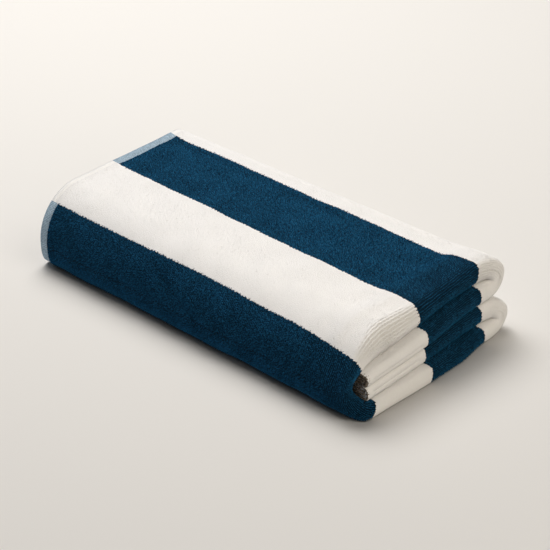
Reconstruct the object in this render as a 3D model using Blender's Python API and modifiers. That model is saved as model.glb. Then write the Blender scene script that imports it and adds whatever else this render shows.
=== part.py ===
"""A striped terry beach towel, folded into a thick bundle and lying flat.

The towel is one rectangle of cloth. It is folded crosswise in half twice, which gives four
plies, then its long sides are folded in to the middle, and last it is closed like a book
around the front. Every point of the flat cloth is carried to its place in that bundle.

Frame: +Z up and the bundle rests on z = 0. X runs along the stripes, from the hem end to
the fold end. Y runs from the front fold to the back. Distances in the tables are taken
from the hem edge and from the furthest point of the front. The finished mesh is then moved
so that the origin is under the middle of the bundle.
"""

import math
from collections import namedtuple

import bpy
from mathutils import Vector

# The flat cloth. Stripes run along its length, and the middle one is navy.
CLOTH_WIDTH = 1.000
STRIPE_COUNT = 11
STRIPE = CLOTH_WIDTH / STRIPE_COUNT
CLOTH_THICKNESS = 0.0030
HEM_THICKNESS = 0.0020
HEM_WIDTH = 0.009
PLIES = 4
LAST_PLY = PLIES - 1

# The bundle, lengthwise.
FOLD_END = 0.4462
INNER_HEM_SETBACK = 0.003
INNER_FOLD_SETBACK = 0.009

# The bundle, across its width: (at the hem end, at the fold end).
SHOULDER_Y = (0.053, 0.060)
FRONT_BULGE_Z = 0.026
FRONT_TUCK_Y = 0.014
FRONT_DEPTH = 0.0150
FRONT_INNER_Z = 0.031
FRONT_INNER_TUCK_Y = 0.024
FRONT_ROUNDNESS = 2.0
FRONT_LOWER_ROUNDNESS = 2.7
FRONT_INNER_ROUNDNESS = (3.0, 2.6)
BACK_BEND_Y = (0.2090, 0.2130)
BACK_BEND_REACH = (0.018, 0.024)
BACK_BEND_INNER_REACH = 0.004
SELVAGE_Y = 0.020
PLY_CLEARANCE = 0.0006
LAST_RUN = 7

# Heights where one group of four plies lies on the next: (at the hem end, at the fold end).
TOP = (0.0785, 0.0765)
UPPER_INSIDE = (0.0585, 0.0510)
MIDDLE = (0.0385, 0.0330)
LOWER_INSIDE = (0.0190, 0.0148)

# The front closes in on the selvages: over this length, the boundaries sink or rise by this.
SQUEEZE_LENGTH = (0.040, 0.080)
SQUEEZE_LIMIT = 1.2
UPPER_DROP = (0.0050, 0.0080)
MIDDLE_DROP = (0.0, 0.0030)
LOWER_RISE = (0.0015, 0.0)

# The last stretch before the fold end stands a little higher than the rest of the top, and
# at the back of it both the inner layers and the corner of the top stand higher still.
PUFF_START_X, PUFF_LENGTH, PUFF_HEIGHT = 0.354, 0.050, 0.0030
LIFT_START_X, LIFT_LENGTH = 0.380, 0.032
BACK_LIFT = 0.0058
BACK_LIFT_Y, BACK_LIFT_WIDTH = 0.070, 0.090
CORNER_LIFT = 0.0042
CORNER_Y, CORNER_RISE, CORNER_FALL = 0.200, 0.070, 0.032

# The underside rests on four corners, as (x, y). Between them its rim bows up a little, and
# so does everything past it, for a cloth this soft never lies dead flat right up to its folds.
REST_CORNERS = ((0.0178, 0.0199), (0.0138, 0.2075), (0.3985, 0.0181), (0.3948, 0.2110))
REST_RADIUS = 0.003
RIM_WIDTH = 0.006
RIM_BOW = 0.00025
RIM_FADE_Z = 0.006

# Where each edge between two stripes lies. The first column counts stripe widths from the
# middle of the cloth, and the other two are distances from the front, at each end.
Edge = namedtuple("Edge", "stripes hem_end fold_end")
EDGES = (
    Edge(4.5, 0.1085, 0.1045),
    Edge(3.5, 0.1985, 0.1955),
    Edge(2.5, 0.1990, 0.1945),
    Edge(1.5, 0.1095, 0.1010),
    Edge(-0.5, 0.0200, 0.0180),
    Edge(-1.5, 0.1110, 0.1010),
    Edge(-2.5, 0.1985, 0.1920),
    Edge(-3.5, 0.1985, 0.1955),
    Edge(-4.5, 0.1085, 0.1045),
)

# How far round the front the upper edge of the middle stripe lies, from the shoulder, by
# the share of the way from the hem end to the fold end.
FrontEdge = namedtuple("FrontEdge", "share degrees")
FRONT_EDGE = (
    FrontEdge(0.0, 38.5),
    FrontEdge(0.25, 39.5),
    FrontEdge(0.5, 39.0),
    FrontEdge(0.75, 42.5),
    FrontEdge(1.0, 51.0),
)

# The folds at the fold end: how far they reach along X, how square their noses are, and
# how far a nose sags towards the inner ply (above 0) or towards the outer one.
Loop = namedtuple("Loop", "stripes reach squareness sag")
LOOPS = (
    Loop(-5.5, 0.4370, 2.5, 0.10),
    Loop(-4.5, 0.4360, 2.5, 0.10),
    Loop(-3.5, 0.4335, 2.5, 0.00),
    Loop(-3.0, 0.4385, 2.5, -0.20),
    Loop(-2.5, 0.4410, 2.5, -0.50),
    Loop(-2.0, 0.4460, 2.5, -0.80),
    Loop(-1.5, FOLD_END, 2.5, -0.90),
    Loop(-0.5, 0.4440, 2.5, -0.60),
    Loop(0.0, 0.4250, 2.5, 0.00),
    Loop(0.5, 0.4275, 2.5, 0.20),
    Loop(1.5, 0.4295, 2.0, 0.00),
    Loop(2.0, 0.4285, 2.2, -0.20),
    Loop(2.5, 0.4255, 2.8, -0.50),
    Loop(3.0, 0.4305, 2.5, 0.00),
    Loop(3.5, 0.4315, 2.5, -0.10),
    Loop(4.5, 0.4380, 2.5, -0.10),
    Loop(5.5, 0.4365, 2.5, -0.10),
)

# The hem isn't quite square to the stripes: how far it stands back from x = 0.
Hem = namedtuple("Hem", "stripes setback")
HEM = (
    Hem(-5.5, 0.0040),
    Hem(-3.0, 0.0040),
    Hem(-1.5, 0.0080),
    Hem(0.0, 0.0095),
    Hem(1.5, 0.0040),
    Hem(3.0, 0.0000),
    Hem(5.5, 0.0010),
)

# Cells of the cloth's grid: across each stripe, from the middle one outwards, and along it.
STRIPE_CELLS = (10, 5, 3, 10, 3, 3)
OUTER_LOOP_CELLS = 10
INNER_LOOP_CELLS = 6
PLY_STOPS = (0.0, HEM_WIDTH, 0.130, 0.255, 0.345, 0.372, 0.390)

NAVY = (0.010, 0.045, 0.090, 1.0)
WHITE = (0.840, 0.820, 0.780, 1.0)
HEM_ON_NAVY = (0.300, 0.400, 0.500, 1.0)
TERRY_ROUGHNESS = 0.95


def clear_scene():
    """Remove every object of the scene."""
    for old in list(bpy.data.objects):
        bpy.data.objects.remove(old, do_unlink=True)


def blend(ends, share):
    """A value between two ends."""
    return ends[0] + (ends[1] - ends[0]) * share


def clamp(value, low, high):
    """A value held between two limits."""
    return min(max(value, low), high)


def ease(share):
    """A share from 0 to 1 that starts and stops gently."""
    share = clamp(share, 0.0, 1.0)
    return share * share * (3.0 - 2.0 * share)


def along(x):
    """The share of the way from the hem end to the fold end."""
    return clamp(x / FOLD_END, 0.0, 1.0)


def across(table, place, column):
    """A column of a table at one place, eased between the two rows around it."""
    for low, high in zip(table, table[1:]):
        if place <= high[0]:
            share = ease((place - low[0]) / (high[0] - low[0]))
            return blend((getattr(low, column), getattr(high, column)), share)
    return getattr(table[-1], column)


def quarter(centre, arms, turn, roundness):
    """A point on a quarter turn from straight up (0) to the front (pi / 2)."""
    power = 2.0 / roundness
    y = centre[0] - arms[0] * max(math.sin(turn), 0.0) ** power
    z = centre[1] + arms[1] * max(math.cos(turn), 0.0) ** power
    return y, z


def half_turn(centre, arms, turn):
    """A point on a back bend, from straight down (-pi / 2) to straight up (pi / 2)."""
    return centre[0] + arms[0] * math.cos(turn), centre[1] + arms[1] * math.sin(turn)


def squeeze(amounts, y, here):
    """How far a boundary between groups moves on its way to the selvages in the front."""
    share = 1.0 - (y - SELVAGE_Y) / blend(SQUEEZE_LENGTH, here)
    return blend(amounts, here) * clamp(share, 0.0, SQUEEZE_LIMIT)


def section(path, x):
    """The outermost and the innermost ply at one place along the path across the cloth.

    The path has eight runs: the upper selvage to the back, the upper back bend, the top,
    the front down to its bulge, the front down to the ground, the underside, the lower
    back bend, and back to the lower selvage.
    """
    here = along(x)
    half = CLOTH_THICKNESS / 2
    skin = half + PLY_CLEARANCE / 2
    top = blend(TOP, here) - half
    upper = blend(UPPER_INSIDE, here)
    middle = blend(MIDDLE, here)
    lower = blend(LOWER_INSIDE, here)
    shoulder = blend(SHOULDER_Y, here)
    back = blend(BACK_BEND_Y, here)
    reach = blend(BACK_BEND_REACH, here) - half
    run = min(int(path), LAST_RUN)
    share = path - run
    if run == 0:
        y = blend((SELVAGE_Y, back), share)
        outer_z = middle - squeeze(MIDDLE_DROP, y, here) + skin
        inner_z = upper - squeeze(UPPER_DROP, y, here) - skin
        return (y, outer_z), (y, inner_z)
    if run == 1:
        turn = math.pi * (share - 0.5)
        outer_centre = back, (top + middle + skin) / 2
        outer = half_turn(outer_centre, (reach, (top - middle - skin) / 2), turn)
        return outer, half_turn((back, upper), (BACK_BEND_INNER_REACH, skin), turn)
    if run == 2:
        y = blend((back, shoulder), share)
        return (y, top), (y, upper - squeeze(UPPER_DROP, y, here) + skin)
    if run == 3:
        turn = share * math.pi / 2
        corner = upper - squeeze(UPPER_DROP, shoulder, here) + skin
        arms = shoulder - half, top - FRONT_BULGE_Z
        inner_arms = shoulder - FRONT_DEPTH + half, corner - FRONT_INNER_Z
        roundness = blend(FRONT_INNER_ROUNDNESS, here)
        outer = quarter((shoulder, FRONT_BULGE_Z), arms, turn, FRONT_ROUNDNESS)
        return outer, quarter((shoulder, FRONT_INNER_Z), inner_arms, turn, roundness)
    if run == 4:
        turn = (1.0 - share) * math.pi / 2
        arms = FRONT_TUCK_Y - half, half - FRONT_BULGE_Z
        inner_arms = FRONT_INNER_TUCK_Y - FRONT_DEPTH + half, lower - skin - FRONT_INNER_Z
        outer = quarter((FRONT_TUCK_Y, FRONT_BULGE_Z), arms, turn, FRONT_LOWER_ROUNDNESS)
        inner = quarter((FRONT_INNER_TUCK_Y, FRONT_INNER_Z), inner_arms, turn, FRONT_ROUNDNESS)
        return outer, inner
    if run == 5:
        outer_y = blend((FRONT_TUCK_Y, back), share)
        inner_y = blend((FRONT_INNER_TUCK_Y, back), share)
        return (outer_y, half), (inner_y, lower - skin)
    if run == 6:
        turn = math.pi * (share - 0.5)
        outer_centre = back, (middle - skin + half) / 2
        outer = half_turn(outer_centre, (reach, (middle - skin - half) / 2), turn)
        return outer, half_turn((back, lower), (BACK_BEND_INNER_REACH, skin), turn)
    y = blend((back, SELVAGE_Y), share)
    outer_z = middle - squeeze(MIDDLE_DROP, y, here) - skin
    return (y, outer_z), (y, lower + squeeze(LOWER_RISE, y, here) + skin)


def path_stations(x):
    """Pairs of (stripe widths from the middle, place along the path), in rising order."""
    share = along(x)
    shoulder = blend(SHOULDER_Y, share)
    edges = {edge.stripes: blend((edge.hem_end, edge.fold_end), share) for edge in EDGES}
    back = blend(BACK_BEND_Y, share)
    inside = back - SELVAGE_Y
    underside = back - FRONT_TUCK_Y
    flat = back - shoulder
    turn = math.radians(across(FRONT_EDGE, share, "degrees"))
    radius = (shoulder + blend(TOP, share) - FRONT_BULGE_Z) / 2
    return [
        (-5.5, 8.0),
        (-4.5, 7.0 + (back - edges[-4.5]) / inside),
        (-3.5, 7.0 + (back - edges[-3.5]) / inside),
        (-3.5 + (back - edges[-3.5]) / STRIPE, 7.0),
        (-2.5 - (back - edges[-2.5]) / STRIPE, 6.0),
        (-2.5, 5.0 + (edges[-2.5] - FRONT_TUCK_Y) / underside),
        (-1.5, 5.0 + (edges[-1.5] - FRONT_TUCK_Y) / underside),
        (-0.5, 5.0 + (edges[-0.5] - FRONT_TUCK_Y) / underside),
        (-0.5 + (edges[-0.5] - FRONT_TUCK_Y) / STRIPE, 5.0),
        (0.5 - (math.pi / 2 - turn) * radius / STRIPE, 4.0),
        (0.5, 3.0 + turn / (math.pi / 2)),
        (1.5 - (edges[1.5] - shoulder) / STRIPE, 3.0),
        (1.5, 2.0 + (back - edges[1.5]) / flat),
        (2.5, 2.0 + (back - edges[2.5]) / flat),
        (2.5 + (back - edges[2.5]) / STRIPE, 2.0),
        (3.5 - (back - edges[3.5]) / STRIPE, 1.0),
        (3.5, (edges[3.5] - SELVAGE_Y) / inside),
        (4.5, (edges[4.5] - SELVAGE_Y) / inside),
        (5.5, 0.0),
    ]


def path_at(stripes, x):
    """The place along the path of one place across the cloth."""
    stations = path_stations(x)
    for low, high in zip(stations, stations[1:]):
        if stripes <= high[0]:
            return blend((low[1], high[1]), (stripes - low[0]) / (high[0] - low[0]))
    return stations[-1][1]


def stack_depth(stripes, x):
    """The distance from the outermost to the innermost ply."""
    outer, inner = section(path_at(stripes, x), x)
    return math.dist(outer, inner)


def risen(x, y, z):
    """The height of a point once the fold end has its puff and its lift at the back."""
    upper = blend(UPPER_INSIDE, along(x))
    raised = clamp((z - upper) / (blend(TOP, along(x)) - upper), 0.0, 1.0)
    inside = clamp((z - CLOTH_THICKNESS / 2) / upper, 0.0, 1.0) - raised
    corner = ease((y - CORNER_Y) / CORNER_RISE + 1.0) - ease((y - CORNER_Y) / CORNER_FALL)
    lift = BACK_LIFT * ease((y - BACK_LIFT_Y) / BACK_LIFT_WIDTH) * inside
    lift += CORNER_LIFT * corner * raised
    z += PUFF_HEIGHT * ease((x - PUFF_START_X) / PUFF_LENGTH) * raised
    return z + lift * ease((x - LIFT_START_X) / LIFT_LENGTH)


def bow(x, y, z):
    """How far the rim of the underside stands off the ground between the four corners."""
    front = min(corner[1] for corner in REST_CORNERS) + RIM_WIDTH
    back = max(corner[1] for corner in REST_CORNERS) - RIM_WIDTH
    hem_end = min(corner[0] for corner in REST_CORNERS) + RIM_WIDTH
    fold_end = min(corner[0] for corner in REST_CORNERS[2:]) - RIM_WIDTH
    within = hem_end < x < fold_end and front < y < back
    at_rest = min(math.dist((x, y), corner) for corner in REST_CORNERS) < REST_RADIUS
    return 0.0 if within or at_rest else RIM_BOW * clamp(1.0 - z / RIM_FADE_Z, 0.0, 1.0)


def nose(turn, stripes):
    """A half turn of the outer loop, as its share of the reach and its layer."""
    power = 2.0 / across(LOOPS, stripes, "squareness")
    sag = across(LOOPS, stripes, "sag")
    cosine = math.cos(turn)
    layer = 0.5 - 0.5 * math.copysign(abs(cosine) ** power, cosine)
    if sag > 0.0:
        layer = 1.0 - (1.0 - layer) ** (1.0 + sag)
    else:
        layer **= 1.0 - sag
    return math.sin(turn) ** power, layer


def lengthwise_rows():
    """Rows of the grid along the cloth, as (kind, place, ply) from one hem to the other.

    The place is a distance from the hem end on a straight ply, and a share of the turn in
    a loop. None is the end of a straight ply, where its loop begins.
    """
    outward = (*PLY_STOPS, None)
    homeward = tuple(reversed(outward))
    rows = [("straight", stop, 0) for stop in outward]
    rows += [("outer_loop", i / OUTER_LOOP_CELLS, 0) for i in range(1, OUTER_LOOP_CELLS)]
    rows += [("straight", stop, 3) for stop in homeward]
    rows += [("hem_fold", i / INNER_LOOP_CELLS, 3) for i in range(1, INNER_LOOP_CELLS)]
    rows += [("straight", stop, 2) for stop in outward]
    rows += [("inner_loop", i / INNER_LOOP_CELLS, 2) for i in range(1, INNER_LOOP_CELLS)]
    rows += [("straight", stop, 1) for stop in homeward]
    return rows


def crosswise_stations():
    """Places across the cloth, in stripe widths from its middle."""
    stations = []
    for number in range(-5, 6):
        cells = STRIPE_CELLS[abs(number)]
        stations += [number - 0.5 + i / cells for i in range(cells)]
    stations.append(STRIPE_COUNT / 2)
    return stations


def folded(row, stripes):
    """The place in the bundle of one point of the flat cloth."""
    kind, place, ply = row
    hem_x = across(HEM, stripes, "setback")
    depth = stack_depth(stripes, FOLD_END)
    loop_x = across(LOOPS, stripes, "reach") - CLOTH_THICKNESS / 2 - depth / 2
    layer = ply / LAST_PLY
    if kind == "straight" and place is None:
        x = loop_x
    elif kind == "straight":
        setback = (0.0, INNER_HEM_SETBACK, INNER_FOLD_SETBACK, INNER_FOLD_SETBACK)[ply]
        x = hem_x + setback + place
    elif kind == "outer_loop":
        reach, layer = nose(math.pi * place, stripes)
        x = loop_x + depth / 2 * reach
    elif kind == "inner_loop":
        x = loop_x + depth / (2 * LAST_PLY) * math.sin(math.pi * place)
        layer = 0.5 + 0.5 / LAST_PLY * math.cos(math.pi * place)
    else:
        radius = stack_depth(stripes, 0.0) / (2 * LAST_PLY)
        x = hem_x + INNER_FOLD_SETBACK - radius * math.sin(math.pi * place)
        layer = (LAST_PLY - 0.5 + 0.5 * math.cos(math.pi * place)) / LAST_PLY
    outer, inner = section(path_at(stripes, x), x)
    y = blend((outer[0], inner[0]), layer)
    z = blend((outer[1], inner[1]), layer)
    return Vector((x, y, risen(x, y, z) + bow(x, y, z)))


def principled(name, colour):
    """A plain terry material."""
    material = bpy.data.materials.new(name)
    material.use_nodes = True
    shader = material.node_tree.nodes["Principled BSDF"]
    shader.inputs["Base Color"].default_value = colour
    shader.inputs["Roughness"].default_value = TERRY_ROUGHNESS
    shader.inputs["Metallic"].default_value = 0.0
    material.diffuse_color = colour
    return material


def make_towel(collection):
    """A flat grid of cloth, carried into the folds and given its thickness."""
    rows = lengthwise_rows()
    stations = crosswise_stations()
    bpy.ops.mesh.primitive_grid_add(
        x_subdivisions=len(rows) - 1, y_subdivisions=len(stations) - 1, size=1.0
    )
    towel = bpy.context.object
    towel.name = "towel"
    towel.data.name = "towel"
    for owner in towel.users_collection:
        owner.objects.unlink(towel)
    collection.objects.link(towel)

    pile = towel.vertex_groups.new(name="pile")
    places = []
    for vertex in towel.data.vertices:
        i = round((vertex.co.x + 0.5) * (len(rows) - 1))
        j = round((vertex.co.y + 0.5) * (len(stations) - 1))
        places.append((i, j))
        pile.add([vertex.index], 0.0 if i in (0, len(rows) - 1) else 1.0, "REPLACE")
    for vertex, (i, j) in zip(towel.data.vertices, places):
        vertex.co = folded(rows[i], stations[j])

    for name, colour in (("navy", NAVY), ("white", WHITE), ("hem_on_navy", HEM_ON_NAVY)):
        towel.data.materials.append(principled(name, colour))
    for face in towel.data.polygons:
        corners = [places[k] for k in face.vertices]
        middle = sum(stations[j] for _, j in corners) / len(corners)
        white = round(abs(middle)) % 2 == 1
        hem = min(i for i, _ in corners) == 0 or max(i for i, _ in corners) == len(rows) - 1
        face.material_index = 1 if white else (2 if hem else 0)

    thick = towel.modifiers.new("cloth thickness", "SOLIDIFY")
    thick.thickness = CLOTH_THICKNESS
    thick.offset = 0.0
    thick.use_even_offset = True
    thick.use_rim = True
    thick.vertex_group = "pile"
    thick.thickness_vertex_group = HEM_THICKNESS / CLOTH_THICKNESS
    return towel


def centre_on_underside(towel):
    """Move the mesh so that the origin is under the middle of the finished solid."""
    evaluated = towel.evaluated_get(bpy.context.evaluated_depsgraph_get())
    points = [corner.co for corner in evaluated.data.vertices]
    low = Vector([min(point[axis] for point in points) for axis in range(3)])
    high = Vector([max(point[axis] for point in points) for axis in range(3)])
    shift = Vector(((low.x + high.x) / 2, (low.y + high.y) / 2, low.z))
    for vertex in towel.data.vertices:
        vertex.co -= shift
    towel.data.shade_smooth()


clear_scene()
beach_towel = bpy.data.collections.new("beach_towel")
bpy.context.scene.collection.children.link(beach_towel)
centre_on_underside(make_towel(beach_towel))
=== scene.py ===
import math
from collections import namedtuple

import bmesh
import bpy
import numpy as np
from mathutils import Matrix, Vector


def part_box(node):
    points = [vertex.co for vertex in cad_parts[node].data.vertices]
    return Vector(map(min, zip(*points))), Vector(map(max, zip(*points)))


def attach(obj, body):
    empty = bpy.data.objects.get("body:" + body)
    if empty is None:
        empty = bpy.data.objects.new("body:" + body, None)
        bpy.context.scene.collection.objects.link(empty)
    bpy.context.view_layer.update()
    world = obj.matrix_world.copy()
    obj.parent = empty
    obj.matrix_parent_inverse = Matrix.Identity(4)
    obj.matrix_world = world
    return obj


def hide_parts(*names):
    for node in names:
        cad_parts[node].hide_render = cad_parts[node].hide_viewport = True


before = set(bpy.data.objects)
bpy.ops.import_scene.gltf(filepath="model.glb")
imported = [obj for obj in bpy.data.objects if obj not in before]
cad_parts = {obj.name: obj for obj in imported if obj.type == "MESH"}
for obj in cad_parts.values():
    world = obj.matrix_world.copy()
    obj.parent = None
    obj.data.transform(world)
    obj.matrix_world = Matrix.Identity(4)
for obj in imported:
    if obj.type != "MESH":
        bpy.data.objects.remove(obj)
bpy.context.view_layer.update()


# ---- Camera -----------------------------------------------------------------------
# The photograph is taken from in front and to the right, looking down at the bundle
# with a long lens. The image is square, and its centre is the lens's own.

CAMERA_PLACE = (1.1057, -1.2073, 0.9870)
CAMERA_AZIMUTH = math.radians(42.2881)
CAMERA_ELEVATION = math.radians(30.4971)
CAMERA_ROLL = math.radians(0.4691)
SENSOR = 36.0
FOCAL_LENGTH = 122.8

camera_data = bpy.data.cameras.new("photo camera")
camera_data.sensor_width = SENSOR
camera_data.lens = FOCAL_LENGTH
camera = bpy.data.objects.new("photo camera", camera_data)
bpy.context.scene.collection.objects.link(camera)
turned = Matrix.Rotation(CAMERA_AZIMUTH, 3, "Z")
tipped = Matrix.Rotation(math.pi / 2 - CAMERA_ELEVATION, 3, "X")
rolled = Matrix.Rotation(CAMERA_ROLL, 3, "Z")
camera.rotation_euler = (turned @ tipped @ rolled).to_euler()
camera.location = CAMERA_PLACE
bpy.context.scene.camera = camera


# ---- Studio -----------------------------------------------------------------------
# A plain cream surface under large soft lights. The key light is high behind the bundle
# and to its left. Two cards light the cloth alone, as the bright floor around it would.

FLOOR_SIZE = 12.0
FLOOR_COLOUR = (0.828, 0.804, 0.770, 1.0)
FLOOR_ROUGHNESS = 0.9
ROOM_COLOUR = (1.0, 0.975, 0.94, 1.0)
ROOM_STRENGTH = 0.0395
LIGHT_DISTANCE = 2.6
# Azimuths are turned from +Y towards +X, in degrees.
LIGHTS = (
    # name, azimuth, elevation, size, watts, colour
    ("key light", -48.0, 57.0, 1.71, 38.2, (1.0, 0.985, 0.965)),
    ("side light", -80.0, 56.0, 1.50, 27.9, (1.0, 0.985, 0.970)),
    ("right light", 68.0, 55.0, 1.64, 11.8, (1.0, 0.96, 0.90)),
    ("end light", 98.0, 30.0, 1.64, 5.1, (1.0, 0.89, 0.71)),
    ("end card", 92.0, 41.0, 1.64, 25.3, (1.0, 0.89, 0.70)),
    ("front card", 184.0, 14.0, 1.64, 11.8, (0.97, 0.99, 1.0)),
)

floor_mesh = bpy.data.meshes.new("floor")
shaper = bmesh.new()
bmesh.ops.create_grid(shaper, x_segments=1, y_segments=1, size=FLOOR_SIZE / 2)
shaper.to_mesh(floor_mesh)
shaper.free()
floor = bpy.data.objects.new("floor", floor_mesh)
bpy.context.scene.collection.objects.link(floor)
paint = bpy.data.materials.new("cream paper")
paint.use_nodes = True
paint_shader = paint.node_tree.nodes["Principled BSDF"]
paint_shader.inputs["Base Color"].default_value = FLOOR_COLOUR
paint_shader.inputs["Roughness"].default_value = FLOOR_ROUGHNESS
floor_mesh.materials.append(paint)

lit_by_cards = bpy.data.collections.new("lit by the cards")
for name, azimuth, elevation, size, watts, tint in LIGHTS:
    turn, rise = math.radians(azimuth), math.radians(elevation)
    level = math.cos(rise)
    direction = Vector((math.sin(turn) * level, math.cos(turn) * level, math.sin(rise)))
    light_data = bpy.data.lights.new(name, "AREA")
    light_data.shape = "DISK"
    light_data.size = size
    light_data.energy = watts
    light_data.color = tint
    light = bpy.data.objects.new(name, light_data)
    bpy.context.scene.collection.objects.link(light)
    light.location = direction * LIGHT_DISTANCE
    light.rotation_euler = (-direction).to_track_quat("-Z", "Y").to_euler()
    if name.endswith("card"):
        light.light_linking.receiver_collection = lit_by_cards

room = bpy.data.worlds.new("pale room")
bpy.context.scene.world = room
room.use_nodes = True
room.node_tree.nodes["Background"].inputs["Color"].default_value = ROOM_COLOUR
room.node_tree.nodes["Background"].inputs["Strength"].default_value = ROOM_STRENGTH
bpy.context.scene.view_settings.view_transform = "Standard"


# ---- Cloth ------------------------------------------------------------------------
# One rectangle of cotton terry, dyed in the yarn in eleven stripes that run along it. It
# is folded crosswise in half twice, its long sides are folded in to the middle, and it is
# closed like a book round the front. Its short ends are narrow flat-woven hems.

CLOTH_WIDTH = 1.000
STRIPE_COUNT = 11
STRIPE = CLOTH_WIDTH / STRIPE_COUNT
THICKNESS = 0.0030
PLIES = 4
LAST_PLY = PLIES - 1
HEM_WIDTH = 0.009
INNER_HEM_SETBACK = 0.003
INNER_FOLD_SETBACK = 0.009

low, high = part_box("towel")
BUNDLE_LENGTH = high.x - low.x

# Across the bundle, as (at the hem end, at the fold end), measured from the front. The top
# turns down at the shoulder, the front reaches furthest at the bulge, and the cloth meets
# the ground at the tuck. A roundness of 2 is that of an ellipse, and above 2 it is squarer.
SHOULDER_Y = (0.053, 0.060)
BULGE_Z = 0.026
TUCK_Y = 0.014
FRONT_DEPTH = 0.0150
INNER_BULGE_Z = 0.031
INNER_TUCK_Y = 0.024
ROUNDNESS = 2.0
LOWER_ROUNDNESS = 2.7
INNER_ROUNDNESS = (3.0, 2.6)
BACK_BEND_Y = (0.2090, 0.2130)
BACK_BEND_REACH = (0.018, 0.024)
BACK_BEND_INNER_REACH = 0.004
SELVAGE_Y = 0.020
PLY_CLEARANCE = 0.0006

# Near the selvages in the front, the layers inside are pressed together.
SQUEEZE_LENGTH = (0.040, 0.080)
SQUEEZE_LIMIT = 1.2
UPPER_DROP = (0.0050, 0.0080)
MIDDLE_DROP = (0.0, 0.0030)
LOWER_RISE = (0.0015, 0.0)

# Heights where one group of four plies lies on the next. The top puffs up a little before
# the fold end.
TOP = (0.0785, 0.0765)
UPPER_INSIDE = (0.0585, 0.0510)
MIDDLE = (0.0385, 0.0330)
LOWER_INSIDE = (0.0190, 0.0148)
PUFF_START, PUFF_LENGTH, PUFF_HEIGHT = 0.354, 0.050, 0.0030

# The back of the fold end stands higher: its inner levels, and the top at its back corner.
LIFT_START, LIFT_LENGTH = 0.380, 0.032
BACK_LIFT = 0.0058
BACK_LIFT_Y, BACK_LIFT_WIDTH = 0.070, 0.090
CORNER_LIFT = 0.0042
CORNER_Y, CORNER_RISE, CORNER_FALL = 0.200, 0.070, 0.032

# Where the edges between the stripes lie: stripe widths from the middle of the cloth,
# and the distance from the front at each end.
EDGE_Y = {
    4.5: (0.1085, 0.1045),
    3.5: (0.1985, 0.1955),
    2.5: (0.1990, 0.1945),
    1.5: (0.1095, 0.1010),
    -0.5: (0.0200, 0.0180),
    -1.5: (0.1110, 0.1010),
    -2.5: (0.1985, 0.1920),
    -3.5: (0.1985, 0.1955),
    -4.5: (0.1085, 0.1045),
}

# How far round the front the upper edge of the middle stripe lies, in degrees from the
# shoulder, by the share of the way from the hem end to the fold end.
FRONT_EDGE_TURNS = ((0.0, 38.5), (0.25, 39.5), (0.5, 39.0), (0.75, 42.5), (1.0, 51.0))

# The folds at the fold end, by stripe widths: how far they reach along X, how square their
# noses are, and how far a nose sags towards the inner ply (above 0) or the outer one.
LOOPS = (
    (-5.5, 0.4370, 2.5, 0.10),
    (-4.5, 0.4360, 2.5, 0.10),
    (-3.5, 0.4335, 2.5, 0.00),
    (-3.0, 0.4385, 3.2, 0.30),
    (-2.5, 0.4410, 2.5, -0.50),
    (-2.0, 0.4460, 2.5, -0.80),
    (-1.5, 0.4462, 2.5, -0.90),
    (-0.5, 0.4440, 2.5, -0.60),
    (0.0, 0.4250, 2.5, 0.00),
    (0.5, 0.4275, 2.5, 0.50),
    (1.5, 0.4295, 2.0, 0.25),
    (2.0, 0.4285, 2.2, -0.20),
    (2.5, 0.4265, 2.8, -0.30),
    (3.0, 0.4310, 3.2, 0.30),
    (3.5, 0.4315, 2.5, -0.10),
    (4.5, 0.4380, 2.5, -0.10),
    (5.5, 0.4365, 2.5, -0.10),
)

# How far the hem stands back, by stripe widths.
HEM_SETBACKS = (
    (-5.5, 0.0040), (-3.0, 0.0040), (-1.5, 0.0080), (0.0, 0.0095), (1.5, 0.0040),
    (3.0, 0.0000), (5.5, 0.0010),
)


def blend(ends, share):
    """A value between two ends."""
    return ends[0] + (ends[1] - ends[0]) * share


def ease(share):
    """A share from 0 to 1 that starts and stops gently."""
    share = np.clip(share, 0.0, 1.0)
    return share * share * (3.0 - 2.0 * share)


def along(x):
    """The share of the way from the hem end to the fold end."""
    return np.clip(x / BUNDLE_LENGTH, 0.0, 1.0)


def across(table, stripes, column=1):
    """A table's value at places across the cloth, eased from one row to the next."""
    value = np.full(np.shape(stripes), table[0][column])
    for first, second in zip(table, table[1:]):
        share = ease((stripes - first[0]) / (second[0] - first[0]))
        value = np.where(stripes >= first[0], blend((first[column], second[column]), share), value)
    return value


def quarter(centre, arms, turn, roundness):
    """Points on a quarter turn, from straight up (0) to the front (pi / 2)."""
    power = 2.0 / roundness
    y = centre[0] - arms[0] * np.clip(np.sin(turn), 0.0, 1.0) ** power
    z = centre[1] + arms[1] * np.clip(np.cos(turn), 0.0, 1.0) ** power
    return y, z


def half_turn(centre, arms, turn):
    """Points on a back bend, from straight down (-pi / 2) to straight up (pi / 2)."""
    return centre[0] + arms[0] * np.cos(turn), centre[1] + arms[1] * np.sin(turn)


def sag(amounts, y, here):
    """How far a boundary between groups sinks on its way to the selvages in the front."""
    share = 1.0 - (y - SELVAGE_Y) / blend(SQUEEZE_LENGTH, here)
    return blend(amounts, here) * np.clip(share, 0.0, SQUEEZE_LIMIT)


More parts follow.
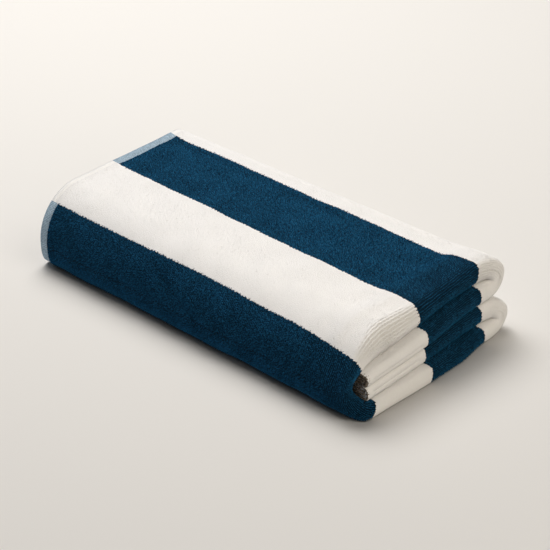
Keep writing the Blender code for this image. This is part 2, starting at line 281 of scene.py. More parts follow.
def section(path, x):
    """The outermost and the innermost ply, each as (y, z), along the way across the cloth.

    The way has eight runs: upper selvage to back, upper back bend, top, front down to its
    bulge, front down to the ground, underside, lower back bend, back to lower selvage.
    """
    here = along(x)
    half = THICKNESS / 2
    skin = half + PLY_CLEARANCE / 2
    top = blend(TOP, here) - half
    upper = blend(UPPER_INSIDE, here)
    middle = blend(MIDDLE, here)
    lower = blend(LOWER_INSIDE, here)
    shoulder = blend(SHOULDER_Y, here)
    back = blend(BACK_BEND_Y, here)
    reach = blend(BACK_BEND_REACH, here) - half
    run = np.clip(path.astype(int), 0, 7)
    share = path - run
    turn = math.pi * (share - 0.5)
    falling = share * math.pi / 2
    rising = (1.0 - share) * math.pi / 2

    inward = blend((SELVAGE_Y, back), share)
    outward = blend((back, SELVAGE_Y), share)
    over = blend((back, shoulder), share)
    upper_bend = (top + middle + skin) / 2, (top - middle - skin) / 2
    lower_bend = (middle - skin + half) / 2, (middle - skin - half) / 2
    upper_in = upper - sag(UPPER_DROP, inward, here)
    upper_over = upper - sag(UPPER_DROP, over, here)
    middle_in = middle - sag(MIDDLE_DROP, inward, here)
    middle_out = middle - sag(MIDDLE_DROP, outward, here)
    lower_out = lower + sag(LOWER_RISE, outward, here)
    corner = upper - sag(UPPER_DROP, shoulder, here)
    shoulder_arms = shoulder - FRONT_DEPTH + half, corner + skin - INNER_BULGE_Z
    tuck_arms = INNER_TUCK_Y - FRONT_DEPTH + half, lower - skin - INNER_BULGE_Z
    outer = (
        (inward, middle_in + skin),
        half_turn((back, upper_bend[0]), (reach, upper_bend[1]), turn),
        (over, top),
        quarter((shoulder, BULGE_Z), (shoulder - half, top - BULGE_Z), falling, ROUNDNESS),
        quarter((TUCK_Y, BULGE_Z), (TUCK_Y - half, half - BULGE_Z), rising, LOWER_ROUNDNESS),
        (blend((TUCK_Y, back), share), half),
        half_turn((back, lower_bend[0]), (reach, lower_bend[1]), turn),
        (outward, middle_out - skin),
    )
    inner = (
        (inward, upper_in - skin),
        half_turn((back, upper), (BACK_BEND_INNER_REACH, skin), turn),
        (over, upper_over + skin),
        quarter(
            (shoulder, INNER_BULGE_Z), shoulder_arms, falling, blend(INNER_ROUNDNESS, here)
        ),
        quarter((INNER_TUCK_Y, INNER_BULGE_Z), tuck_arms, rising, ROUNDNESS),
        (blend((INNER_TUCK_Y, back), share), lower - skin),
        half_turn((back, lower), (BACK_BEND_INNER_REACH, skin), turn),
        (outward, lower_out + skin),
    )
    plies = []
    for runs in (outer, inner):
        ys = np.choose(run, [np.broadcast_to(y, x.shape) for y, _ in runs])
        zs = np.choose(run, [np.broadcast_to(z, x.shape) for _, z in runs])
        plies.append((ys, zs))
    return plies


def path_at(stripes, x):
    """The way across the cloth, in runs, for places in stripe widths from its middle."""
    here = along(x)
    back = blend(BACK_BEND_Y, here)
    shoulder = blend(SHOULDER_Y, here)
    edge = {place: blend(ends, here) for place, ends in EDGE_Y.items()}
    turn = np.radians(across(FRONT_EDGE_TURNS, here))
    radius = (shoulder + blend(TOP, here) - BULGE_Z) / 2
    inside = back - SELVAGE_Y
    under = back - TUCK_Y
    flat = back - shoulder
    stations = [
        (-5.5, 8.0),
        (-4.5, 7.0 + (back - edge[-4.5]) / inside),
        (-3.5, 7.0 + (back - edge[-3.5]) / inside),
        (-3.5 + (back - edge[-3.5]) / STRIPE, 7.0),
        (-2.5 - (back - edge[-2.5]) / STRIPE, 6.0),
        (-2.5, 5.0 + (edge[-2.5] - TUCK_Y) / under),
        (-1.5, 5.0 + (edge[-1.5] - TUCK_Y) / under),
        (-0.5, 5.0 + (edge[-0.5] - TUCK_Y) / under),
        (-0.5 + (edge[-0.5] - TUCK_Y) / STRIPE, 5.0),
        (0.5 - (math.pi / 2 - turn) * radius / STRIPE, 4.0),
        (0.5, 3.0 + turn / (math.pi / 2)),
        (1.5 - (edge[1.5] - shoulder) / STRIPE, 3.0),
        (1.5, 2.0 + (back - edge[1.5]) / flat),
        (2.5, 2.0 + (back - edge[2.5]) / flat),
        (2.5 + (back - edge[2.5]) / STRIPE, 2.0),
        (3.5 - (back - edge[3.5]) / STRIPE, 1.0),
        (3.5, (edge[3.5] - SELVAGE_Y) / inside),
        (4.5, (edge[4.5] - SELVAGE_Y) / inside),
        (5.5, 0.0),
    ]
    path = np.full(x.shape, 8.0)
    for (start, first), (end, second) in zip(stations, stations[1:]):
        share = (stripes - start) / (end - start)
        path = np.where(stripes >= start, blend((first, second), share), path)
    return path


def nose(turn, roundness, sag_share):
    """A half turn as (reach, layer): its nose may be flat, and sag to one side."""
    power = 2.0 / roundness
    c, s = np.cos(turn), np.clip(np.sin(turn), 0.0, 1.0)
    layer = 0.5 - 0.5 * np.sign(c) * np.abs(c) ** power
    sunk = np.where(
        sag_share > 0.0,
        1.0 - (1.0 - layer) ** (1.0 + np.abs(sag_share)),
        layer ** (1.0 + np.abs(sag_share)),
    )
    return s ** power, sunk


COMMON_ROUNDNESS = 2.5
NOSE_STEPS = 181


def even_turns():
    """The share of the way along a nose, for turns from 0 to pi."""
    turns = np.linspace(0.0, math.pi, NOSE_STEPS)
    reach, layer = nose(turns, COMMON_ROUNDNESS, 0.0)
    # A nose reaches half as far as it is deep.
    way = np.cumsum(np.hypot(np.diff(reach, prepend=0.0), 2.0 * np.diff(layer, prepend=0.0)))
    return way / way[-1], turns


NOSE_WAY, NOSE_TURNS = even_turns()


def stack_depth(stripes, x):
    """The distance from the outermost to the innermost ply."""
    x = np.broadcast_to(x, stripes.shape).astype(float)
    outer, inner = section(path_at(stripes, x), x)
    return np.hypot(outer[0] - inner[0], outer[1] - inner[1])


def folded(lap, stripes):
    """Where points of the flat cloth lie in the bundle, as the middle of its thickness.

    A lap counts along the cloth: 0 to 1 the outermost ply, 1 to 2 the outer loop, to 3
    the innermost ply, to 4 the fold by the hem, to 5 the next ply, to 6 the inner loop,
    and to 7 the ply under the outermost one, which ends in the other hem.
    """
    lap = np.asarray(lap, float)
    stripes = np.asarray(stripes, float)
    kind = np.clip(lap.astype(int), 0, 6)
    share = lap - kind
    hem_x = across(HEM_SETBACKS, stripes)
    depth = stack_depth(stripes, BUNDLE_LENGTH)
    loop_x = across(LOOPS, stripes) - THICKNESS / 2 - depth / 2
    fold_radius = stack_depth(stripes, 0.0) / (2 * LAST_PLY)
    turn = math.pi * share
    nose_turn = np.interp(share, NOSE_WAY, NOSE_TURNS)
    nose_reach, nose_layer = nose(nose_turn, across(LOOPS, stripes, 2), across(LOOPS, stripes, 3))
    x = np.choose(kind, [
        blend((hem_x, loop_x), share),
        loop_x + depth / 2 * nose_reach,
        blend((loop_x, hem_x + INNER_FOLD_SETBACK), share),
        hem_x + INNER_FOLD_SETBACK - fold_radius * np.sin(turn),
        blend((hem_x + INNER_FOLD_SETBACK, loop_x), share),
        loop_x + depth / (2 * LAST_PLY) * np.sin(turn),
        blend((loop_x, hem_x + INNER_HEM_SETBACK), share),
    ])
    layer = np.choose(kind, [
        np.zeros_like(share),
        nose_layer,
        np.ones_like(share),
        (LAST_PLY - 0.5 + 0.5 * np.cos(turn)) / LAST_PLY,
        np.full_like(share, (LAST_PLY - 1) / LAST_PLY),
        0.5 + 0.5 / LAST_PLY * np.cos(turn),
        np.full_like(share, 1 / LAST_PLY),
    ])
    outer, inner = section(path_at(stripes, x), x)
    y = blend((outer[0], inner[0]), layer)
    z = blend((outer[1], inner[1]), layer)
    upper = blend(UPPER_INSIDE, along(x))
    raised = np.clip((z - upper) / (blend(TOP, along(x)) - upper), 0.0, 1.0)
    inside = np.clip((z - THICKNESS / 2) / upper, 0.0, 1.0) - raised
    corner = ease((y - CORNER_Y) / CORNER_RISE + 1.0) - ease((y - CORNER_Y) / CORNER_FALL)
    lift = BACK_LIFT * ease((y - BACK_LIFT_Y) / BACK_LIFT_WIDTH) * inside
    lift = lift + CORNER_LIFT * corner * raised
    z = z + PUFF_HEIGHT * ease((x - PUFF_START) / PUFF_LENGTH) * raised
    z = z + lift * ease((x - LIFT_START) / LIFT_LENGTH)
    return np.stack([x + low.x, y + low.y, z], axis=-1)


# Lengths along the cloth of a ply, of the outer loop and of the two smaller folds, in
# metres, and the distances at which each lap ends.
PLY_LENGTH = 0.405
LOOP_LENGTH = 0.031
FOLD_LENGTH = 0.010
LAP_ENDS = np.cumsum((
    0.0, PLY_LENGTH, LOOP_LENGTH, PLY_LENGTH, FOLD_LENGTH, PLY_LENGTH, FOLD_LENGTH, PLY_LENGTH,
))

# Soft creases of the outermost ply: both ends, as (metres from the hem, stripe widths from
# the middle), then the half width and the height. A height below 0 is a trough.
CREASES = (
    ((0.020, 2.36), (0.250, 2.33), 0.0110, -0.0013),
    ((0.060, 1.80), (0.300, 1.78), 0.0120, 0.0006),
    ((0.315, 2.15), (0.350, 1.95), 0.0130, 0.0009),
    ((0.383, 1.62), (0.386, 2.50), 0.0060, 0.0010),
    ((0.366, 1.55), (0.370, 2.45), 0.0070, -0.0008),
    ((0.150, 0.46), (0.213, 0.15), 0.0050, 0.0011),
    ((0.213, 0.15), (0.285, -0.18), 0.0050, 0.0011),
    ((0.162, 0.32), (0.225, 0.00), 0.0060, -0.0010),
    ((0.370, 0.42), (0.392, -0.02), 0.0050, 0.0012),
    ((0.388, 0.40), (0.404, 0.10), 0.0040, -0.0010),
    ((0.300, -0.20), (0.410, -0.18), 0.0060, 0.0009),
    ((0.060, 0.10), (0.130, 0.26), 0.0110, 0.0008),
    ((0.384, 0.60), (0.388, 1.40), 0.0070, 0.0009),
    ((0.368, 0.70), (0.372, 1.35), 0.0080, -0.0006),
    ((0.414, 0.95), (0.416, 1.45), 0.0050, -0.0007),
    ((0.110, 0.75), (0.300, 0.90), 0.0160, -0.0006),
    ((0.419, 4.62), (0.419, 5.40), 0.0024, -0.0009),
    ((0.419, -5.40), (0.419, -4.62), 0.0024, -0.0009),
)
# Low swells of the outermost ply: wavelength along and across it, phase and height.
SWELLS = (
    (0.170, 0.390, 0.4, 0.00035),
    (0.083, -0.210, 1.9, 0.00025),
    (0.047, 0.085, 3.1, 0.00016),
    (-0.061, 0.052, 5.2, 0.00014),
)
HEM_CURL, HEM_CURL_LENGTH = 0.0018, 0.014
# Swells and curl are on the front and the top alone. They come in past the first of these
# places and go out past the second, over the fade, in stripe widths. The curl comes in more
# slowly, over a whole stripe, and the swells end half way round the outer loop.
SWELLS_REACH = (-0.5, 2.6)
SWELLS_FADE = 0.25


def flat_place(lap, stripes):
    """Places in metres on the flat cloth: from the first hem, and from its middle line."""
    return np.interp(lap, range(len(LAP_ENDS)), LAP_ENDS), stripes * STRIPE


def relief(lap, stripes):
    """How far the cloth stands off its smooth folds, from creases, swells and hem curl."""
    along_cloth, over = flat_place(lap, stripes)
    creases = np.zeros(along_cloth.shape)
    swells = np.zeros(along_cloth.shape)
    for (start_x, start), (end_x, end), half_width, crest in CREASES:
        step = end_x - start_x, (end - start) * STRIPE
        share = (along_cloth - start_x) * step[0] + (over - start * STRIPE) * step[1]
        share = np.clip(share / (step[0] ** 2 + step[1] ** 2), 0.0, 1.0)
        gap_x = along_cloth - start_x - share * step[0]
        gap_y = over - start * STRIPE - share * step[1]
        creases += crest * np.exp(-(gap_x ** 2 + gap_y ** 2) / half_width ** 2)
    for long_wave, cross_wave, phase, crest in SWELLS:
        waves = along_cloth / long_wave + over / cross_wave
        swells += crest * np.sin(2.0 * math.pi * waves + phase)
    curl = HEM_CURL * (1.0 - ease(along_cloth / HEM_CURL_LENGTH)) * ease(stripes - SWELLS_REACH[0])
    outermost = 1.0 - ease((lap - 1.0) * 2.0)
    shown = ease((stripes - SWELLS_REACH[0]) / SWELLS_FADE)
    shown = shown * (1.0 - ease((stripes - SWELLS_REACH[1]) / SWELLS_FADE))
    return creases + (swells * outermost + curl) * shown


# A small step, in laps or in stripes, for the slopes of the folded cloth.
SLOPE_STEP = 1e-3


def directions(lap, stripes, shape):
    """Unit vectors along the cloth, across it and off its outer face."""
    warp = shape(lap + SLOPE_STEP, stripes) - shape(lap - SLOPE_STEP, stripes)
    weft = shape(lap, stripes + SLOPE_STEP) - shape(lap, stripes - SLOPE_STEP)
    warp /= np.linalg.norm(warp, axis=-1, keepdims=True)
    normal = np.cross(warp, weft)
    normal /= np.linalg.norm(normal, axis=-1, keepdims=True)
    return warp, np.cross(normal, warp), normal


def creased(lap, stripes):
    """The folded cloth with its relief."""
    normal = directions(lap, stripes, folded)[2]
    return folded(lap, stripes) + normal * relief(lap, stripes)[..., None]


# Cells of the mesh: along each lap, and across a stripe by how far it is from the middle.
LAP_CELLS = (110, 16, 12, 8, 10, 6, 10)
STRIPE_CELLS = (22, 18, 16, 20, 6, 6)
HEM_LAP = HEM_WIDTH / PLY_LENGTH
# The pattern stops a little short of the selvages, where another stripe would begin.
PATTERN_REACH = 5.499

laps = [lap + i / cells for lap, cells in enumerate(LAP_CELLS) for i in range(cells)]
laps.append(float(len(LAP_CELLS)))
laps = np.array(sorted(laps + [HEM_LAP, len(LAP_CELLS) - HEM_LAP]))
places = [
    stripe - 0.5 + i / STRIPE_CELLS[abs(stripe)]
    for stripe in range(-5, 6)
    for i in range(STRIPE_CELLS[abs(stripe)])
]
places = np.array(places + [STRIPE_COUNT / 2])

shaper = bmesh.new()
bmesh.ops.create_grid(
    shaper, x_segments=len(laps) - 1, y_segments=len(places) - 1, size=0.5
)
flat = np.array([vertex.co[:2] for vertex in shaper.verts]) + 0.5
rows = np.rint(flat[:, 0] * (len(laps) - 1)).astype(int)
columns = np.rint(flat[:, 1] * (len(places) - 1)).astype(int)
lap_values, stripe_values = laps[rows], places[columns]
along_cloth, over = flat_place(
    lap_values, np.clip(stripe_values, -PATTERN_REACH, PATTERN_REACH)
)
# The map holds where each corner lies on the flat cloth, in metres.
cloth_map = shaper.loops.layers.uv.new("cloth")
for face in shaper.faces:
    for corner in face.loops:
        i = corner.vert.index
        corner[cloth_map].uv = (along_cloth[i], over[i])
for vertex, place in zip(shaper.verts, creased(lap_values, stripe_values)):
    vertex.co = place
cloth_mesh = bpy.data.meshes.new("towel_cloth")
shaper.to_mesh(cloth_mesh)
shaper.free()
cloth_mesh.shade_smooth()
cloth = bpy.data.objects.new("towel_cloth", cloth_mesh)
bpy.context.scene.collection.objects.link(cloth)
# The ground is this share of the cloth's thickness, and the pile is the rest.
GROUND_SHARE = 0.46
thick = cloth.modifiers.new("cloth thickness", "SOLIDIFY")
thick.thickness = THICKNESS * GROUND_SHARE
thick.offset = 0.0
thick.use_even_offset = True

NAVY = (0.0121, 0.0768, 0.1632, 1.0)
WHITE = (0.735, 0.729, 0.734, 1.0)
# The navy ground between the loops is in their shade.
NAVY_GROUND = (0.0026, 0.0165, 0.0353, 1.0)
WHITE_GROUND = (0.760, 0.750, 0.742, 1.0)
HEM_NAVY_THREAD = (0.060, 0.110, 0.179, 1.0)
HEM_WHITE_THREAD = (0.400, 0.514, 0.610, 1.0)
HEM_ON_WHITE = (0.810, 0.800, 0.790, 1.0)


def math_node(nodes, links, operation, first, second):
    """A Math node on two inputs, each a value or a socket."""
    node = nodes.new("ShaderNodeMath")
    node.operation = operation
    for socket, given in zip(node.inputs, (first, second)):
        if isinstance(given, (int, float)):
            socket.default_value = given
        else:
            links.new(given, socket)
    return node.outputs[0]


# Noise cells per metre: one loop of yarn, a few loops together, a patch of cloth.
YARN_NOISES = (("Loops", 780.0), ("Clumps", 260.0), ("Patches", 42.0))
DARKEST_YARN = 0.15


def uneven_yarn():
    """A node group: a yarn colour that changes from loop to loop and in soft patches."""
    group = bpy.data.node_groups.new("uneven yarn", "ShaderNodeTree")
    sockets = group.interface
    sockets.new_socket("Colour", in_out="INPUT", socket_type="NodeSocketColor")
    for amount, _ in YARN_NOISES:
        sockets.new_socket(amount, in_out="INPUT", socket_type="NodeSocketFloat")
    sockets.new_socket("Colour", in_out="OUTPUT", socket_type="NodeSocketColor")
    nodes, links = group.nodes, group.links
    given = nodes.new("NodeGroupInput")
    result = nodes.new("NodeGroupOutput")
    uv = nodes.new("ShaderNodeUVMap")
    uv.uv_map = "cloth"
    level = 1.0
    for amount, scale in YARN_NOISES:
        noise = nodes.new("ShaderNodeTexNoise")
        noise.inputs["Scale"].default_value = scale
        noise.inputs["Detail"].default_value = 0.0
        links.new(uv.outputs["UV"], noise.inputs["Vector"])
        centred = math_node(nodes, links, "SUBTRACT", noise.outputs[0], 0.5)
        change = math_node(nodes, links, "MULTIPLY", centred, given.outputs[amount])
        level = math_node(nodes, links, "ADD", change, level)
    level = math_node(nodes, links, "MAXIMUM", level, DARKEST_YARN)
    tinted = nodes.new("ShaderNodeVectorMath")
    tinted.operation = "SCALE"
    links.new(given.outputs["Colour"], tinted.inputs[0])
    links.new(level, tinted.inputs["Scale"])
    links.new(tinted.outputs[0], result.inputs["Colour"])
    return group


UNEVEN_YARN = uneven_yarn()
# How much the yarn's brightness changes: from loop to loop, in clumps and in patches.
NAVY_CHANGE = (1.9, 0.5, 0.45)
WHITE_CHANGE = (0.04, 0.03, 0.05)
HEM_CHANGE = (0.9, 0.4, 0.1)
SELVAGE_GROUND_CHANGE = (1.2, 0.5, 0.1)


def uneven(nodes, links, colour_value, changes):
    """The group in a material, with its own colour and amounts."""
    node = nodes.new("ShaderNodeGroup")
    node.node_tree = UNEVEN_YARN
    node.inputs["Colour"].default_value = colour_value
    for (socket_name, _), amount in zip(YARN_NOISES, changes):
        node.inputs[socket_name].default_value = amount
    return node.outputs["Colour"]


def mixed(nodes, links, mask, first, second):
    """One colour or another by a mask."""
    node = nodes.new("ShaderNodeMix")
    node.data_type = "RGBA"
    links.new(mask, node.inputs["Factor"])
    links.new(first, node.inputs["A"])
    links.new(second, node.inputs["B"])
    return node.outputs["Result"]


COTTON_ROUGHNESS = 0.95
GROUND_GLOSS = 0.05
# Between the outermost loops of a white stripe the ground is still navy, up to here.
WHITE_GROUND_FROM = 0.512
# A wave texture of scale 1 repeats after this length.
WAVE_LENGTH = 0.314
THREAD_PITCH = 0.0016
THREAD_WANDER = 0.6
NUBS_PER_METRE = 550.0
BUMP_STRENGTH, BUMP_HEIGHT = 0.7, 0.0006
# The cut face of the selvage lies in the shade between the plies.
SELVAGE_FROM = 5.494
SELVAGE_SHADE = (0.16, 0.135, 0.11, 1.0)
ground = bpy.data.materials.new("striped ground")
ground.use_nodes = True
nodes, links = ground.node_tree.nodes, ground.node_tree.links
shader = nodes["Principled BSDF"]
shader.inputs["Roughness"].default_value = COTTON_ROUGHNESS
shader.inputs["Specular IOR Level"].default_value = GROUND_GLOSS
uv = nodes.new("ShaderNodeUVMap")
uv.uv_map = "cloth"
split = nodes.new("ShaderNodeSeparateXYZ")
links.new(uv.outputs["UV"], split.inputs[0])
stripe_number = math_node(nodes, links, "MULTIPLY", split.outputs["Y"], 1.0 / STRIPE)
from_navy = math_node(nodes, links, "PINGPONG", stripe_number, 1.0)
on_white = math_node(nodes, links, "GREATER_THAN", from_navy, 0.5)
under_white = math_node(nodes, links, "GREATER_THAN", from_navy, WHITE_GROUND_FROM)
on_selvage = math_node(nodes, links, "GREATER_THAN", stripe_number, SELVAGE_FROM)
below_selvage = math_node(nodes, links, "LESS_THAN", stripe_number, -SELVAGE_FROM)
edge = math_node(nodes, links, "MAXIMUM", on_selvage, below_selvage)
# Near the selvages the ground's colour is the painted shade between the plies.
terry = mixed(
    nodes, links, edge,
    mixed(
        nodes, links, under_white,
        uneven(nodes, links, NAVY_GROUND, NAVY_CHANGE),
        uneven(nodes, links, WHITE_GROUND, WHITE_CHANGE),
    ),
    uneven(nodes, links, SELVAGE_SHADE, SELVAGE_GROUND_CHANGE),
)
half_way = float(LAP_ENDS[-1]) / 2
from_end = math_node(nodes, links, "PINGPONG", split.outputs["X"], half_way)
in_hem = math_node(nodes, links, "LESS_THAN", from_end, HEM_WIDTH)
threads = []
for direction in ("X", "Y"):
    texture = nodes.new("ShaderNodeTexWave")
    texture.bands_direction = direction
    texture.inputs["Scale"].default_value = WAVE_LENGTH / THREAD_PITCH
    texture.inputs["Distortion"].default_value = THREAD_WANDER
    links.new(uv.outputs["UV"], texture.inputs["Vector"])
    threads.append(texture.outputs["Fac"])
weave = math_node(nodes, links, "MULTIPLY", *threads)
crossing = math_node(nodes, links, "MAXIMUM", *threads)
hem = mixed(
    nodes, links, on_white,
    mixed(
        nodes, links, crossing,
        uneven(nodes, links, HEM_NAVY_THREAD, HEM_CHANGE),
        uneven(nodes, links, HEM_WHITE_THREAD, HEM_CHANGE),
    ),
    uneven(nodes, links, HEM_ON_WHITE, WHITE_CHANGE),
)
links.new(mixed(nodes, links, in_hem, terry, hem), shader.inputs["Base Color"])
nubs = nodes.new("ShaderNodeTexNoise")
nubs.inputs["Scale"].default_value = NUBS_PER_METRE
nubs.inputs["Detail"].default_value = 1.0
links.new(uv.outputs["UV"], nubs.inputs["Vector"])
bump = nodes.new("ShaderNodeBump")
bump.inputs["Strength"].default_value = BUMP_STRENGTH
bump.inputs["Distance"].default_value = BUMP_HEIGHT
surface = nodes.new("ShaderNodeMix")
surface.data_type = "FLOAT"
links.new(in_hem, surface.inputs["Factor"])
links.new(nubs.outputs[0], surface.inputs["A"])
links.new(weave, surface.inputs["B"])
links.new(surface.outputs["Result"], bump.inputs["Height"])
links.new(bump.outputs["Normal"], shader.inputs["Normal"])
cloth_mesh.materials.append(ground)

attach(cloth, "root")
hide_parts("towel")


# ---- Pile -------------------------------------------------------------------------
# Terry has rows of small standing loops of soft cotton yarn on both faces; here they stand on
# stretches of the cloth's outer face. Each loop is a rounded lump that leans a little its own
# way, and each piece has one yarn colour.

# Rows follow one another along the cloth, and every other row is shifted by the stagger.
# A loop lies up to the jitters off its place, in rows and in loops, and is turned by up to
# the spin, in radians.
ROW_PITCH = 0.0019
LOOP_PITCH = 0.00115
STAGGER = 0.45
ROW_JITTER, LOOP_JITTER, LOOP_SPIN = 0.30, 0.35, 0.8

# A lump's half widths along and across the cloth, its half height, how high its middle
# stands over the cloth's, its lean as a share of its height, and its range of sizes.
# Disorder, narrowing and sway are for the fold end, where the rows open into ribs: how much
# is left there of the disorder on the flat and of the loops' width along the cloth, and by
# how many rows a rib wanders. Spread is how much wider the rows and loops are set. Light
# goes through pale loops, so their shading is evened towards that of the cloth.
PileStyle = namedtuple(
    "PileStyle", "widths height root lean sizes disorder narrowing sway spread evenness"
)
STYLES = {
    "navy": PileStyle(
        widths=(0.00080, 0.00064), height=0.00125, root=0.00070, lean=0.45,
        sizes=(0.72, 1.28), disorder=0.05, narrowing=0.36, sway=0.11, spread=1.0,
        evenness=0.0,
    ),
    "white": PileStyle(
        widths=(0.00170, 0.00135), height=0.00040, root=0.00124, lean=0.10,
        sizes=(0.97, 1.03), disorder=0.60, narrowing=0.85, sway=0.0, spread=1.04,
        evenness=0.64,
    ),
    "selvage": PileStyle(
        widths=(0.00130, 0.00110), height=0.00170, root=0.0, lean=0.60,
        sizes=(0.60, 1.30), disorder=1.0, narrowing=1.0, sway=0.0, spread=1.0,
        evenness=0.0,
    ),
}
# The rows open into ribs over this length from this distance from the hem, and a rib
# wanders in waves of this length.
RIBS_START, RIBS_LENGTH = 0.368, 0.028
RIB_WAVE = 0.017
# On the hem the pile rises to its full height between these distances from the cloth's end,
# and it is never lower than this share of it.
PILE_RISE = (0.0025, 0.0085)
LOWEST_PILE = 0.25
# Loops that would reach below this height over the floor are left out.
FLOOR_GAP = 0.0003
YARN_SEED = 7

shaper = bmesh.new()
bmesh.ops.create_uvsphere(shaper, u_segments=4, v_segments=2, radius=1.0)
lump_corners = np.array([vertex.co for vertex in shaper.verts])
lump_faces = np.array([[corner.vert.index for corner in face.loops] for face in shaper.faces])
shaper.free()
draw = np.random.default_rng(YARN_SEED)


def unfolded_lump():
    """The lump's faces laid flat in a square from -1 to 1: the top is its inner diamond."""
    laid = []
    for face in lump_faces:
        middle = lump_corners[face].mean(axis=0)
        for corner in lump_corners[face]:
            on_rim = abs(corner[2]) < 0.5
            if on_rim:
                laid.append(corner[:2])
            elif corner[2] > 0.0:
                laid.append((0.0, 0.0))
            else:
                laid.append(np.sign(middle[:2]))
    return np.array(laid)


LUMP_FLAT = unfolded_lump()
# In the map for baking each lump has a square of its own, which it fills to this share.
BAKE_MARGIN = 0.92
SELVAGE_CHANGE = (2.0, 1.0, 0.1)


def yarn(name, colour_value, changes):
    """Soft cotton yarn of one colour, a little uneven from loop to loop."""
    material = bpy.data.materials.new(name)
    material.use_nodes = True
    nodes, links = material.node_tree.nodes, material.node_tree.links
    shader = nodes["Principled BSDF"]
    shader.inputs["Roughness"].default_value = COTTON_ROUGHNESS
    shader.inputs["Specular IOR Level"].default_value = 0.0
    links.new(uneven(nodes, links, colour_value, changes), shader.inputs["Base Color"])
    return material


yarns = {
    "navy": yarn("navy yarn", NAVY, NAVY_CHANGE),
    "white": yarn("white yarn", WHITE, WHITE_CHANGE),
    # The yarn at the selvages is coloured with the painted shade between the plies.
    "selvage": yarn("selvage yarn in painted shade", SELVAGE_SHADE, SELVAGE_CHANGE),
}


def scatter(style, reach, stripe_range):
    """Loops in staggered rows: metres from the hem, stripe widths, and how open the rows are."""
    row_count = max(round((reach[1] - reach[0]) / ROW_PITCH / style.spread), 1)
    loops_across = (stripe_range[1] - stripe_range[0]) * STRIPE / LOOP_PITCH / style.spread
    column_count = max(round(loops_across), 1)
    row, column = np.meshgrid(np.arange(row_count), np.arange(column_count), indexing="ij")
    row, column = row.ravel() + 0.5, column.ravel() + 0.5
    shift = STAGGER * (2.0 * (row.astype(int) % 2) - 1.0) / 2.0
    opened = ease((blend(reach, row / row_count) - RIBS_START) / RIBS_LENGTH)
    disorder = blend((1.0, style.disorder), opened)
    phase = draw.uniform(0.0, 2.0 * math.pi, row_count)[row.astype(int)]
    sway = np.sin(column * (LOOP_PITCH * 2.0 * math.pi / RIB_WAVE) + phase)
    wander = style.sway * sway * opened
    row = row + draw.uniform(-ROW_JITTER, ROW_JITTER, row.shape) * disorder + wander
    column = column + shift + draw.uniform(-LOOP_JITTER, LOOP_JITTER, row.shape)
    return blend(reach, row / row_count), blend(stripe_range, column / column_count), opened


def lumps(style, lap, place, from_hem, opened):
    """The corners of each loop's lump, and the way that each corner faces."""
    root = creased(lap, place)
    warp, weft, normal = (axis[:, None, :] for axis in directions(lap, place, creased))
    count = len(root)
    risen = (from_hem - PILE_RISE[0]) / (PILE_RISE[1] - PILE_RISE[0])
    risen = np.clip(risen, LOWEST_PILE, 1.0)[:, None]
    size = draw.uniform(*style.sizes, (count, 1)) * risen
    disorder = blend((1.0, style.disorder), opened)
    spin = draw.uniform(-LOOP_SPIN, LOOP_SPIN, count) * disorder
    lean = draw.uniform(-style.lean, style.lean, (count, 2, 1)) * style.height
    c, s = np.cos(spin)[:, None], np.sin(spin)[:, None]
    lx, ly, lz = lump_corners.T
    narrowed = blend((1.0, style.narrowing), opened)[:, None]
    outward = c * lx - s * ly, s * lx + c * ly
    along_warp = outward[0] * style.widths[0] * size * narrowed + lean[:, 0] * lz
    along_weft = outward[1] * style.widths[1] * size + lean[:, 1] * lz
    up = style.root * risen + lz * style.height * size
    corners = root[:, None, :] + along_warp[..., None] * warp
    corners = corners + along_weft[..., None] * weft + up[..., None] * normal
    facing = outward[0][..., None] * warp + outward[1][..., None] * weft
    facing = blend((facing + lz[:, None] * normal, normal), style.evenness)
    return corners, facing / np.linalg.norm(facing, axis=-1, keepdims=True)


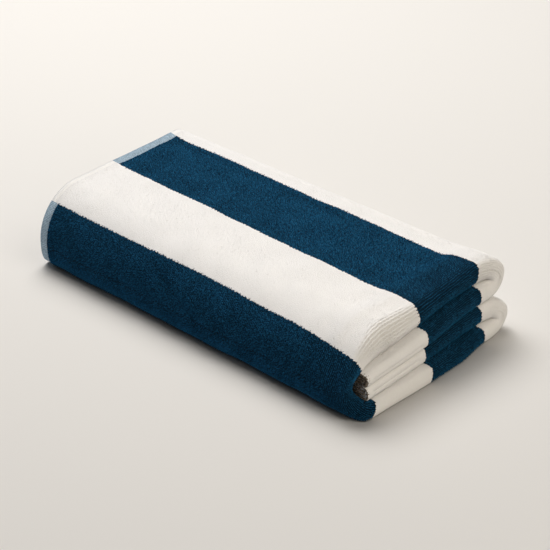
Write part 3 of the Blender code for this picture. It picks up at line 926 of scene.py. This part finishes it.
def plant(name, lap_range, stripe_range, tint):
    """One mesh of loops on a stretch of the cloth's outer face."""
    style = STYLES[tint]
    reach = flat_place(np.array(lap_range), 0.0)[0]
    from_hem, place, opened = scatter(style, reach, stripe_range)
    lap = np.interp(from_hem, LAP_ENDS, range(len(LAP_ENDS)))
    corners, facing = lumps(style, lap, place, from_hem, opened)
    kept = corners[..., 2].min(axis=1) > FLOOR_GAP
    count = int(kept.sum())
    faces = (np.arange(count)[:, None, None] * len(lump_corners) + lump_faces).reshape(-1, 3)
    mesh = bpy.data.meshes.new(name)
    mesh.from_pydata(corners[kept].reshape(-1, 3), [], faces)
    mesh.shade_smooth()
    if style.evenness:
        mesh.normals_split_custom_set_from_vertices(facing[kept].reshape(-1, 3))
    spots = np.stack(flat_place(lap[kept], place[kept]), axis=-1)
    on_cloth = np.repeat(spots, len(LUMP_FLAT), axis=0)
    mesh.uv_layers.new(name="cloth").data.foreach_set("uv", on_cloth.ravel())
    side = math.ceil(math.sqrt(count))
    cells = np.stack(divmod(np.arange(count), side), axis=-1)[:, None, :]
    laid = (cells + 0.5 + LUMP_FLAT * BAKE_MARGIN / 2) / side
    mesh.uv_layers.new(name="OFBake").data.foreach_set("uv", laid.ravel())
    mesh.materials.append(yarns[tint])
    piece = bpy.data.objects.new(name, mesh)
    bpy.context.scene.collection.objects.link(piece)
    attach(piece, "root")
    return piece


# Pieces of pile by their laps and by their reach across the cloth, in stripe widths. At two
# of the edges the navy loops reach a little over the white ones. The navy pile starts past
# the hem, and the white pile starts on it, where no edge shows.
WHITE_START = HEM_LAP * 0.4
pile = [
    plant("pile_navy_front", (HEM_LAP, 1.0), (-0.42, 0.511), "navy"),
    plant("pile_white_top", (WHITE_START, 1.0), (0.503, 1.5), "white"),
    plant("pile_navy_top", (HEM_LAP, 1.0), (1.5, 2.509), "navy"),
    plant("pile_white_back", (WHITE_START, 1.0), (2.503, 3.4), "white"),
    plant("pile_white_back_low", (WHITE_START, 1.0), (-3.4, -2.6), "white"),
]
# The pieces above end where the outer loop begins. Each stripe has a piece round that loop,
# which starts a little sooner where the outermost ply is hidden, and a piece round the fold
# by the hem.
COVERED = (0, 1, 2, 3, -3)
FOLD_END_START, FOLD_END_STOP = 0.955, 2.035
HEM_END_LAPS = (2.985, 4.015)
for stripe in range(-5, 6):
    tint = "white" if stripe % 2 else "navy"
    reach = (stripe - 0.5, stripe + 0.5)
    laps_there = (1.0 if stripe in COVERED else FOLD_END_START, FOLD_END_STOP)
    pile.append(plant(f"pile_{tint}_fold_end_{stripe + 6}", laps_there, reach, tint))
    pile.append(plant(f"pile_{tint}_hem_end_{stripe + 6}", HEM_END_LAPS, reach, tint))

# Loose yarn stands along both selvages, round the outer and the inner loop, and reaches this
# far to each side of the edge, in stripe widths. Its dark colour is the painted shade between
# the plies.
SELVAGE_REACH = (-0.030, 0.012)
SELVAGE_LAPS = {"outer": (0.85, 2.15), "inner": (4.85, 6.15)}
for side, edge in (("upper", STRIPE_COUNT / 2), ("lower", -STRIPE_COUNT / 2)):
    reach = edge + SELVAGE_REACH[0], edge + SELVAGE_REACH[1]
    for loop, laps_there in SELVAGE_LAPS.items():
        pile.append(plant(f"selvage_{side}_{loop}", laps_there, reach, "selvage"))

for piece in [cloth] + pile:
    lit_by_cards.objects.link(piece)
